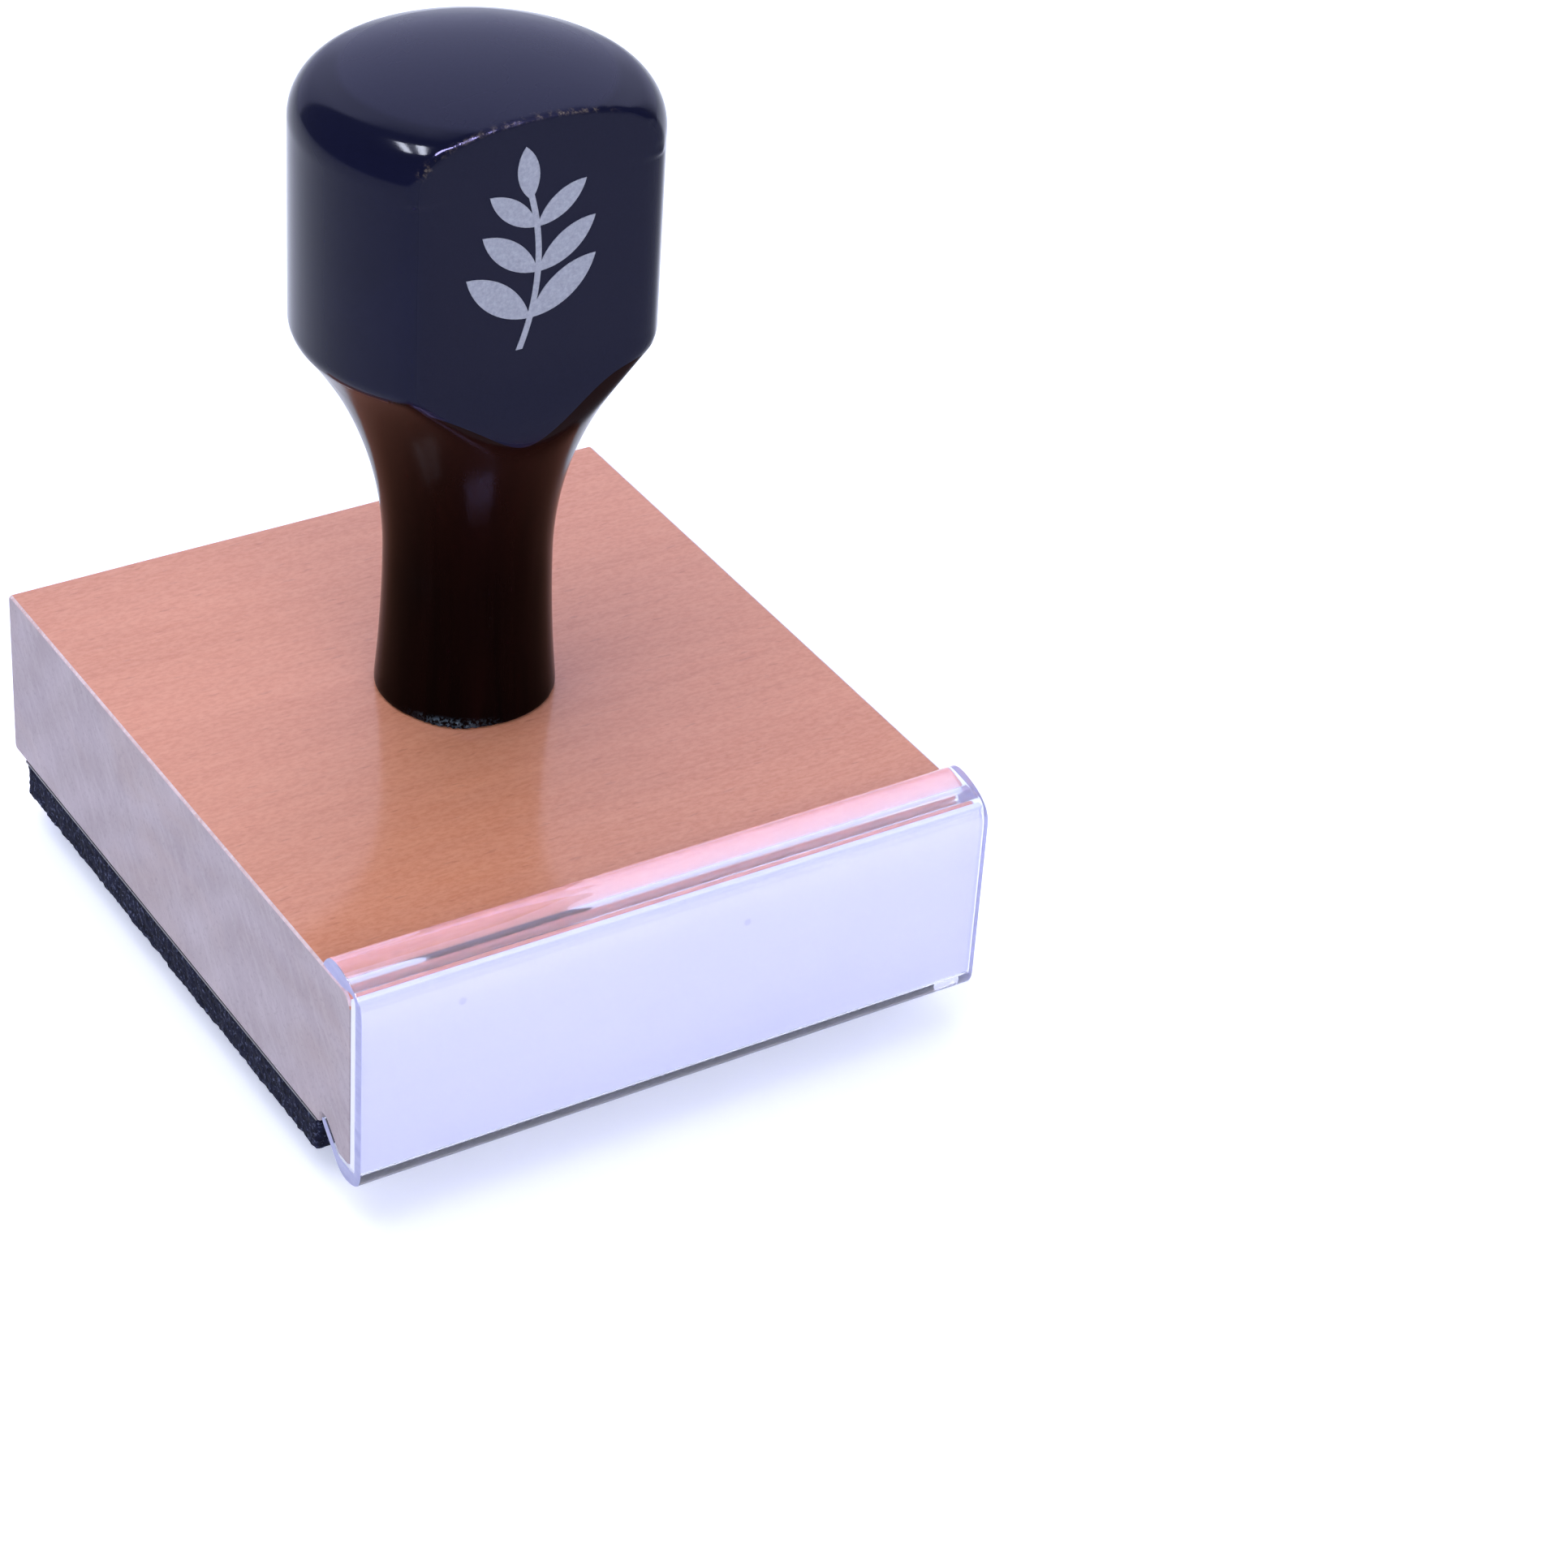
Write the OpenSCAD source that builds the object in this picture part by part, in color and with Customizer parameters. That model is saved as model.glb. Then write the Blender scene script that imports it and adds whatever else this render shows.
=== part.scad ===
// Wood-block hand stamp with a turned handle, a clip-on clear index cover,
// a foam cushion and a round rubber die. Millimetres, +Z up.
// The origin is on the table, under the middle of the outline: the die's
// printing face is at z = 0, the cover's front face is on the -Y side.

/* [Block] */
// Length of the moulding along X
block_l = 57.2; // [54:0.1:90]
// Depth from the cover's front face to the back of the block
block_d = 65.5; // [64:0.1:90]
// Thickness of the block above its underside
block_t = 15.9; // [14:0.1:24]

/* [Die stack] */
// Diameter of the rubber die
die_d = 51; // [46:0.5:51]
// Thickness of the rubber die, relief included
die_t = 2.3; // [2:0.1:3]
// Height of the raised design on the die
relief_h = 1.0; // [0.6:0.1:1.2]
// Thickness of the foam cushion
cushion_t = 3.2; // [2.8:0.1:5]
// Thickness of the adhesive film on the block
mount_film_t = 0.2; // [0.1:0.05:0.4]
// Thickness of the adhesive film on the die
die_film_t = 0.1; // [0.1:0.05:0.3]

/* [Handle] */
// Overall height of the handle above the block
handle_h = 58; // [56:0.5:70]
// Radius of the knob
knob_r = 14.7; // [14:0.1:18]
// Radius of the stem where it meets the block
foot_r = 7.65; // [7.4:0.05:9]
// Radius of the stem at its waist
waist_r = 7.0; // [6.5:0.05:7.3]
// Height of the waist above the block
waist_h = 13; // [10:0.5:16]
// Radius of the concave flare from the waist up to the knob
flare_r = 33; // [31:0.5:36]
// Distance of the flat facet from the handle's axis
facet_d = 10; // [9.5:0.1:11]
// Distance of the handle's axis from the cover's front face
handle_y = 36.6; // [34:0.1:38]
// Height above the block where the dipped coat ends
dip_h = 33.2; // [32:0.1:35]
// Thickness of the dipped coat
coat_t = 0.25; // [0.15:0.05:0.5]

/* [Screw] */
// Outside diameter of the dowel screw
screw_d = 6.0; // [5:0.1:7]
// Length of the screw inside the block
screw_low = 10; // [8:0.5:11]
// Length of the screw inside the handle
screw_up = 19; // [15:0.5:24]
// Radial clearance between the screw and its bores
screw_gap = 0.05; // [0.03:0.01:0.1]
// Pitch of the screw thread
thread_p = 2.5; // [2:0.1:3]

/* [Cover and label] */
// Thickness of the cover's front wall
wall_t = 1.05; // [0.9:0.05:1.1]
// Thickness of the white label card
card_t = 0.65; // [0.3:0.05:0.65]

/* [Hidden] */
$fn = 64;

z_film1 = die_t;
z_cush  = z_film1 + die_film_t;
z_film2 = z_cush + cushion_t;
z_base  = z_film2 + mount_film_t;      // underside of the block
z_top   = z_base + block_t;            // top plane of the block

front_y = -block_d / 2;                // the cover's front face
wood_y  = 1.95;                        // the block's front face, from the cover's
axis_y  = front_y + handle_y;          // the handle's axis
pad_y0  = front_y + 7.6;               // cushion, front edge
pad_y1  = front_y + block_d - 2.3;     // cushion, back edge
die_y   = (pad_y0 + pad_y1) / 2;       // centre of the die
lift    = 0.05;                        // gap under the foot of the handle

// Points along an arc from angle a to angle b, n steps
function arc(cx, cy, r, a, b, n = 6) =
    [for (i = [0:n]) [cx + r * cos(a + (b - a) * i / n),
                      cy + r * sin(a + (b - a) * i / n)]];

// A (y, z) list measured from the cover's front face and the block's top
// plane, moved to its place in the part
function place(p) = [for (q = p) [q[0] + front_y, q[1] + z_top]];

// A profile in Y and Z, run along X
module along_x(p, len) {
    rotate([90, 0, 90])
        translate([0, 0, -len / 2])
            linear_extrude(height = len) polygon(place(p));
}

// ---- moulding ----------------------------------------------------------

// End profile of the block: rounded nose, lip and V-groove at the front
function block_profile() = concat(
    arc(block_d - 0.4, -block_t + 0.4, 0.4, 270, 360, 3),
    arc(block_d - 0.5, -0.5, 0.5, 0, 90, 4),
    arc(wood_y + 1.25, -1.25, 1.25, 90, 180, 8),
    arc(wood_y + 0.4, -block_t - 0.35, 0.4, 180, 270, 4),
    [[3.55, -block_t - 0.75], [3.78, -block_t - 0.70], [3.95, -block_t - 0.55],
     [5.72, -block_t + 1.12], [5.86, -block_t + 1.24], [6.05, -block_t + 1.30],
     [6.60, -block_t + 1.30], [6.82, -block_t + 1.22], [6.93, -block_t + 1.05],
     [7.12, -block_t + 0.15], [7.25, -block_t]]);

module mount_block() {
    color([0.84, 0.60, 0.50])
    difference() {
        along_x(block_profile(), block_l);
        translate([0, axis_y, z_top - screw_low - 0.6])
            cylinder(r = screw_d / 2 + screw_gap, h = screw_low + 2, $fn = 48);
    }
}

// ---- clear cover and card ----------------------------------------------

// End profile of the cover: lip, shoulder, front wall, and hook
function cover_profile() = [
    [6.40, 0.10], [6.38, 0.30], [6.10, 0.75], [5.70, 1.20], [5.25, 1.52],
    [4.70, 1.68], [4.10, 1.70], [3.40, 1.60], [2.70, 1.44], [2.00, 1.22],
    [1.35, 0.92], [0.80, 0.55], [0.38, 0.12], [0.12, -0.38], [0, -1.00],
    [0, -block_t - 0.40], [0.08, -block_t - 0.95], [0.35, -block_t - 1.50],
    [0.80, -block_t - 1.95], [1.40, -block_t - 2.25], [2.10, -block_t - 2.42],
    [2.85, -block_t - 2.45], [3.55, -block_t - 2.25], [4.10, -block_t - 1.85],
    [4.60, -block_t - 1.35], [6.30, -block_t + 0.30], [6.58, -block_t + 0.65],
    [6.58, -block_t + 0.92], [6.35, -block_t + 1.08], [6.05, -block_t + 1.12],
    [5.85, -block_t + 1.02], [4.00, -block_t - 0.71], [3.80, -block_t - 0.86],
    [3.55, -block_t - 0.92], [wall_t + 0.40, -block_t - 0.92],
    [wall_t + 0.10, -block_t - 0.82], [wall_t, -block_t - 0.52],
    [wall_t, -0.35], [wall_t + 0.07, 0.02], [wall_t + 0.30, 0.28],
    [1.80, 0.38], [2.60, 0.22], [3.20, 0.10]];

module index_cover() {
    color([0.72, 0.74, 0.92, 0.45]) along_x(cover_profile(), block_l);
}

// White card, held between the cover's front wall and the block
module index_label() {
    y0 = wall_t + 0.1;
    color([0.93, 0.93, 0.98])
        translate([-block_l / 2, front_y + y0, z_base - 0.65])
            cube([block_l, card_t, block_t + 0.60]);
}

// ---- cushion and films -------------------------------------------------

module mount_film() {
    color([0.85, 0.83, 0.75])
        translate([-block_l / 2, pad_y0, z_film2])
            cube([block_l, pad_y1 - pad_y0, mount_film_t]);
}

module cushion() {
    color([0.14, 0.15, 0.20])
        translate([-block_l / 2, pad_y0, z_cush])
            cube([block_l, pad_y1 - pad_y0, cushion_t]);
}

module die_film() {
    color([0.85, 0.83, 0.75])
        translate([0, die_y, z_film1])
            cylinder(d = die_d, h = die_film_t, $fn = 96);
}

// ---- rubber die --------------------------------------------------------

// Leaf outline from two arcs, base at the origin, pointing along +X
module leaf(l, w) {
    r = (l * l / 4 + w * w / 4) / w;
    translate([l / 2, 0])
    intersection() {
        translate([0, r - w / 2]) circle(r = r);
        translate([0, -r + w / 2]) circle(r = r);
    }
}

// Flat ring outline
module ring(r, w) {
    difference() { circle(r = r, $fn = 96); circle(r = r - w, $fn = 96); }
}

// One half of the wreath, mirrored for the other half
module branch(r, n) {
    // stem
    intersection() {
        ring(r + 0.3, 0.6);
        polygon([[0, 0], [30 * cos(-85), 30 * sin(-85)], [60, -40], [60, 60],
                 [30 * cos(69), 30 * sin(69)]]);
    }
    // a pair of leaves at each step along the stem
    for (i = [0:n - 1]) {
        a = -80 + i * 14.5;
        s = 1 - 0.035 * i;
        rotate(a) translate([r, 0]) {
            rotate(64)  leaf(5.2 * s, 1.9 * s);
            rotate(128) leaf(4.6 * s, 1.7 * s);
        }
        // and a berry between
        rotate(a + 7) translate([r + 4.4, 0]) circle(r = 0.5, $fn = 24);
    }
}

// Heart outline, s wide
function heart_pts(s) = [for (t = [0:10:350])
    [s / 32 * 16 * pow(sin(t), 3),
     s / 32 * (13 * cos(t) - 5 * cos(2 * t) - 2 * cos(3 * t) - cos(4 * t))]];

// Raised design: two rings, a leaf wreath and a heart
module relief() {
    ring(die_d / 2 - 0.6, 0.9);
    ring(die_d / 2 - 2.1, 0.4);
    branch(16.4, 11);
    mirror([1, 0]) branch(16.4, 11);
    difference() {
        polygon(heart_pts(13));
        translate([0, 0.1]) polygon(heart_pts(9.6));
    }
    for (k = [-1, 1]) translate([k * 9.2, 1.2]) circle(r = 0.8, $fn = 24);
}

module rubber_die() {
    color([0.32, 0.20, 0.22])
    translate([0, die_y, 0]) {
        translate([0, 0, relief_h])
            cylinder(d = die_d, h = die_t - relief_h, $fn = 96);
        linear_extrude(height = relief_h) relief();
    }
}

// ---- turned handle -----------------------------------------------------

dome_r = 32;      // crown of the knob
edge_r = 4;       // shoulder between crown and side
under_r = 2;      // edge between side and flare

// Outline of the handle in radius and height, from the foot up, with every
// surface above the height cut set back by t
function flare_x(h) = waist_r + flare_r - sqrt(flare_r * flare_r - (h - waist_h) * (h - waist_h));
function foot_x(h) = waist_r + (foot_r - waist_r) * pow(1 - h / waist_h, 2);
// centre of the under-edge arc, tangent to the side and to the flare
under_cx = knob_r - under_r;
under_cz = waist_h + sqrt(pow(flare_r + under_r, 2) - pow(waist_r + flare_r - under_cx, 2));
under_a  = atan2(waist_h - under_cz, waist_r + flare_r - under_cx);
// centre of the shoulder arc, tangent to the side and to the crown
edge_cx = knob_r - edge_r;
edge_cz = handle_h - dome_r + sqrt(pow(dome_r - edge_r, 2) - pow(edge_cx, 2));
edge_a  = atan2(edge_cz - (handle_h - dome_r), edge_cx);
// height where the flare ends and the under-edge arc begins
flare_top = under_cz + under_r * sin(under_a);

function stem_pts() = concat(
    [[foot_r - 0.35, lift], [foot_r - 0.08, lift + 0.12], [foot_r - 0.02, lift + 0.4]],
    [for (i = [1:8]) let (h = waist_h * i / 8) [foot_x(h), h]],
    [for (i = [1:22]) let (h = waist_h + (dip_h - waist_h) * i / 22)
        [h < flare_top ? flare_x(h) : under_cx + sqrt(max(0, under_r * under_r - pow(h - under_cz, 2))), h]]);

function knob_pts(t) = concat(
    [for (i = [0:5]) let (h = dip_h + (flare_top - dip_h) * i / 5)
        if (h < flare_top) [flare_x(h) - t, h]],
    [for (i = [0:6]) let (a = under_a + (0 - under_a) * i / 6)
        [under_cx + (under_r - t) * cos(a), under_cz + (under_r - t) * sin(a)]],
    [for (i = [0:9]) let (a = edge_a * i / 9)
        [edge_cx + (edge_r - t) * cos(a), edge_cz + (edge_r - t) * sin(a)]],
    [for (i = [1:8]) let (a = edge_a + (90 - edge_a) * i / 8)
        [max(0, (dome_r - t) * cos(a)), handle_h - dome_r + (dome_r - t) * sin(a)]]);

module turned(p) {
    rotate_extrude($fn = 128) polygon(p);
}

module at_handle() { translate([0, axis_y, z_top]) children(); }

// Box in front of a plane y = -d, used to cut the facet
module ahead_of(d) {
    translate([-30, -60 - d, -5]) cube([60, 60, 80]);
}

// The whole outside of the handle, with coat
module outside_above(h0) {
    intersection() {
        turned(concat([[0, lift]], stem_pts(), knob_pts(0)));
        translate([-30, -30, h0]) cube([60, 60, 80]);
    }
}

module handle() {
    color([0.16, 0.07, 0.06])
    at_handle() difference() {
        turned(concat([[0, lift]], stem_pts(), knob_pts(coat_t)));
        ahead_of(facet_d - coat_t);
        translate([0, 0, -2])
            cylinder(r = screw_d / 2 + screw_gap, h = screw_up + 2.6, $fn = 48);
    }
}

module knob_coat() {
    color([0.13, 0.14, 0.22])
    at_handle() {
        // dipped shell over the knob
        difference() {
            turned(concat([[knob_pts(coat_t)[0][0], dip_h]], knob_pts(0),
                          [for (i = [len(knob_pts(coat_t)) - 1:-1:0]) knob_pts(coat_t)[i]]));
            ahead_of(facet_d - coat_t);
        }
        // flat coat on the facet, down to its tip on the neck
        intersection() {
            turned(concat([[0, lift]], stem_pts(), knob_pts(0)));
            translate([-30, -facet_d, 20]) cube([60, coat_t, 60]);
        }
    }
}

// Pale printed sprig on the facet
module sprig() {
    // stem, a slim curved line
    difference() {
        intersection() {
            translate([-20, 0]) circle(r = 20.3, $fn = 128);
            translate([-2, -7.6]) square([6, 13.4]);
        }
        translate([-20.02, 0]) circle(r = 19.8, $fn = 128);
    }
    for (k = [0:2]) {
        y = -5.0 + 3.9 * k;
        s = 1 - 0.13 * k;
        translate([0.05 - y * y / 40, y]) {
            rotate(38)  leaf(7.2 * s, 2.5 * s);
            rotate(142) leaf(7.2 * s, 2.5 * s);
        }
    }
    translate([-0.75, 5.2]) rotate(97) leaf(4.6, 1.9);
}

module facet_mark() {
    color([0.66, 0.68, 0.74])
    at_handle()
        translate([0, -facet_d, 44.5]) rotate([90, 0, 0])
            linear_extrude(height = 0.06) sprig();
}

// ---- dowel screw -------------------------------------------------------

// Thread shown as rings of the thread's own pitch, crest at screw_d
function teeth(z0, n, up) = [for (i = [0:n - 1], k = [0:3])
    let (z = z0 + i * thread_p)
        k == 0 ? [screw_d / 2 - 0.7, z + 0.15]
      : k == 1 ? [screw_d / 2, z + thread_p * 0.42]
      : k == 2 ? [screw_d / 2, z + thread_p * 0.54]
      :          [screw_d / 2 - 0.7, z + thread_p - 0.15]];
n_low = floor((screw_low - 1.9) / thread_p);
n_up  = floor((screw_up - 2.4) / thread_p);

module handle_screw() {
    color([0.68, 0.69, 0.72])
    at_handle()
        rotate_extrude($fn = 48) polygon(concat(
            [[0, -screw_low], [0.5, -screw_low], [screw_d / 2 - 0.7, -screw_low + 1.4]],
            teeth(-0.4 - n_low * thread_p, n_low, true),
            [[screw_d / 2, -0.3], [screw_d / 2, 0.5]],
            teeth(0.6, n_up, true),
            [[screw_d / 2 - 0.7, screw_up - 1.4], [0.5, screw_up], [0, screw_up]]));
}

mount_block();
mount_film();
cushion();
die_film();
rubber_die();
index_cover();
index_label();
handle_screw();
handle();
knob_coat();
facet_mark();
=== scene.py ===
import bpy, math
import numpy as np
from mathutils import Matrix, Vector


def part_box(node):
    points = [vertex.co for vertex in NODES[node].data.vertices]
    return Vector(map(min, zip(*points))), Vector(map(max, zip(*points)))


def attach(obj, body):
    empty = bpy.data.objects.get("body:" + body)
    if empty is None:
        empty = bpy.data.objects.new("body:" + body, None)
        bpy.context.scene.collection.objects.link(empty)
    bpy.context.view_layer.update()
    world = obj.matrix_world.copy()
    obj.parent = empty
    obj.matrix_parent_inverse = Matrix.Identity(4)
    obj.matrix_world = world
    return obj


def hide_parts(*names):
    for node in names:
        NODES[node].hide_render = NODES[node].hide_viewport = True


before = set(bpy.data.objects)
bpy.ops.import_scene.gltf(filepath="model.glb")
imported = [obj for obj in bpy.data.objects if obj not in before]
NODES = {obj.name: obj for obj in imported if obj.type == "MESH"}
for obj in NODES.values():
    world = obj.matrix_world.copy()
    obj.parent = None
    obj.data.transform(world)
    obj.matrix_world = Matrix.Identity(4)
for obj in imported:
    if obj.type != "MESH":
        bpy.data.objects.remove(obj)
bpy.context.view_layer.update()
MM = 0.001
rng = np.random.default_rng(11)

# ------------------------------------------------------------------ sizes
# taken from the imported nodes, in mm
def nbox(n):
    lo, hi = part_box(n)
    return np.array(lo) * 1000, np.array(hi) * 1000

b_lo, b_hi = nbox("mount_block")
c_lo, c_hi = nbox("index_cover")
l_lo, l_hi = nbox("index_label")
p_lo, p_hi = nbox("cushion")
h_lo, h_hi = nbox("handle")
k_lo, k_hi = nbox("knob_coat")
d_lo, d_hi = nbox("rubber_die")

HALF = float(b_hi[0])                  # half the length of the moulding
FRONT = float(c_lo[1])                 # the cover's front face
BACK = float(b_hi[1])
TOP = float(b_hi[2])                   # top plane of the block
T = float(TOP - nbox("mount_film")[1][2])   # block thickness
AX = 0.5 * float(k_lo[0] + k_hi[0])
KR = 0.5 * float(k_hi[0] - k_lo[0])    # knob radius
AY = float(k_hi[1]) - KR               # handle axis
FD = AY - float(k_lo[1])               # facet distance from the axis
HH = float(k_hi[2]) - TOP              # handle height


# ------------------------------------------------------------ mesh helpers
def obj_from(name, verts_mm, faces, smooth=True, angle=35.0, mats=(), fmat=None):
    me = bpy.data.meshes.new(name)
    me.from_pydata((np.asarray(verts_mm) * MM).tolist(), [], faces)
    me.validate(verbose=False)
    me.update()
    for m in mats:
        me.materials.append(m)
    if fmat is not None:
        me.polygons.foreach_set("material_index", np.asarray(fmat, dtype=np.int32))
    me.polygons.foreach_set("use_smooth", np.full(len(me.polygons), smooth))
    if smooth and angle is not None:
        me.set_sharp_from_angle(angle=math.radians(angle))
    o = bpy.data.objects.new(name, me)
    bpy.context.scene.collection.objects.link(o)
    return o


def attr(o, name, values):
    a = o.data.attributes.new(name, "FLOAT", "POINT")
    a.data.foreach_set("value", np.asarray(values, np.float32).ravel())


def hash_noise(p, seed=0, octaves=4, gain=0.5):
    """Value noise of an (n, 3) array, -1..1, seeded and repeatable."""
    r = np.random.default_rng(seed)
    perm = r.permutation(256)
    perm = np.concatenate([perm, perm, perm])
    val = r.uniform(-1, 1, 256)
    out = np.zeros(len(p))
    amp, tot, q = 1.0, 0.0, np.array(p, float)
    for _ in range(octaves):
        i = np.floor(q).astype(int)
        f = q - i
        f = f * f * (3 - 2 * f)
        acc = 0
        for dx in (0, 1):
            for dy in (0, 1):
                for dz in (0, 1):
                    h = perm[(perm[(perm[(i[:, 0] + dx) & 255] + i[:, 1] + dy) & 255] + i[:, 2] + dz) & 255]
                    w = (f[:, 0] if dx else 1 - f[:, 0]) * (f[:, 1] if dy else 1 - f[:, 1]) * (f[:, 2] if dz else 1 - f[:, 2])
                    acc = acc + val[h] * w
        out += amp * acc
        tot += amp
        amp *= gain
        q = q * 2.03 + 17.3
    return out / tot


def arc(cx, cy, r, a, b, n):
    t = np.radians(np.linspace(a, b, n + 1))
    return np.c_[cx + r * np.cos(t), cy + r * np.sin(t)]


def resample_closed(p, step):
    q = np.vstack([p, p[:1]])
    s = np.r_[0, np.cumsum(np.linalg.norm(np.diff(q, axis=0), axis=1))]
    n = max(8, int(round(s[-1] / step)))
    t = np.linspace(0, s[-1], n, endpoint=False)
    return np.c_[np.interp(t, s, q[:, 0]), np.interp(t, s, q[:, 1])]


def smooth_closed(p, rounds=2):
    """Corner cutting, keeps the loop closed."""
    for _ in range(rounds):
        q = np.roll(p, -1, 0)
        p = np.stack([0.75 * p + 0.25 * q, 0.25 * p + 0.75 * q], 1).reshape(-1, 2)
    return p


def inset(p, d):
    """Moves a counter-clockwise loop inward by d along its vertex normals."""
    e = np.roll(p, -1, 0) - p
    e /= np.linalg.norm(e, axis=1, keepdims=True) + 1e-12
    n = np.c_[-e[:, 1], e[:, 0]]
    v = n + np.roll(n, 1, 0)
    v /= np.linalg.norm(v, axis=1, keepdims=True) + 1e-12
    c = np.clip((v * n).sum(1), 0.35, 1)
    return p + v * (d / c)[:, None]


def area2(p):
    q = np.roll(p, -1, 0)
    return 0.5 * (p[:, 0] * q[:, 1] - q[:, 0] * p[:, 1]).sum()


def sweep_x(name, loop, half, bev, stations, mats, wobble=0.0, seed=1, raw=None):
    """A closed (y, z) loop run along X with bevelled cut ends. Ends take material 1."""
    if area2(loop) < 0:
        loop = loop[::-1]
    mid2 = 0.5 * (loop + np.roll(loop, -1, 0))
    side = [1 if raw is not None and raw(*q) else 0 for q in mid2]
    xs, ds = [], []
    for t in (0.0, 0.35, 1.0):                       # left bevel
        a = t * math.pi / 2
        xs.append(-half + bev * (1 - math.cos(a)) * 1.0)
        ds.append(bev * (1 - math.sin(a)))
    # a ring close beside each bevel keeps the long faces' shading flat
    mid = [-half + bev + 0.04] + list(np.linspace(-half + bev, half - bev, stations)[1:-1]) + [half - bev - 0.04]
    xs += mid; ds += [0.0] * len(mid)
    for t in (1.0, 0.35, 0.0):
        a = t * math.pi / 2
        xs.append(half - bev * (1 - math.cos(a)) * 1.0)
        ds.append(bev * (1 - math.sin(a)))
    n = len(loop)
    rings = []
    for x, d in zip(xs, ds):
        q = inset(loop, d) if d > 1e-9 else loop
        rings.append(np.c_[np.full(n, x), q])
    v = np.vstack(rings)
    if wobble:
        w = hash_noise(v * 0.08, seed, 2)
        v[:, 1:] += (w * wobble)[:, None] * np.array([0.6, 0.8])
    f, fm = [], []
    R = len(xs)
    for i in range(R - 1):
        for j in range(n):
            a, b = i * n + j, i * n + (j + 1) % n
            c, d2 = (i + 1) * n + (j + 1) % n, (i + 1) * n + j
            # with three materials, the top faces near each bevelled end take material 2, a painted highlight on the
            # arris
            f.append((a, d2, c, b)); fm.append((2 if len(mats) > 2 and mid2[j][1] > loop[:, 1].max() - 0.9 and i in (0, 1, R - 2, R - 3) else 1) if i < 1 or i >= R - 2 or (len(mats) > 2 and mid2[j][1] > loop[:, 1].max() - 0.9 and i in (1, R - 3)) else side[j])
    f.append(tuple(range(n))); fm.append(1)
    f.append(tuple(reversed(range((R - 1) * n, R * n)))); fm.append(1)
    return obj_from(name, v, f, True, 32, mats, fm)


def grid_faces(rows, cols, wrap=True, off=0, flip=False):
    f = []
    cc = cols if wrap else cols - 1
    for i in range(rows - 1):
        for j in range(cc):
            a = off + i * cols + j
            b = off + i * cols + (j + 1) % cols
            c = off + (i + 1) * cols + (j + 1) % cols
            d = off + (i + 1) * cols + j
            f.append((a, d, c, b) if flip else (a, b, c, d))
    return f


# --------------------------------------------------------------- materials
def new_mat(name):
    m = bpy.data.materials.new(name)
    m.use_nodes = True
    nt = m.node_tree
    nt.nodes.clear()
    out = nt.nodes.new("ShaderNodeOutputMaterial")
    bs = nt.nodes.new("ShaderNodeBsdfPrincipled")
    nt.links.new(bs.outputs[0], out.inputs[0])
    return m, nt, bs


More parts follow.
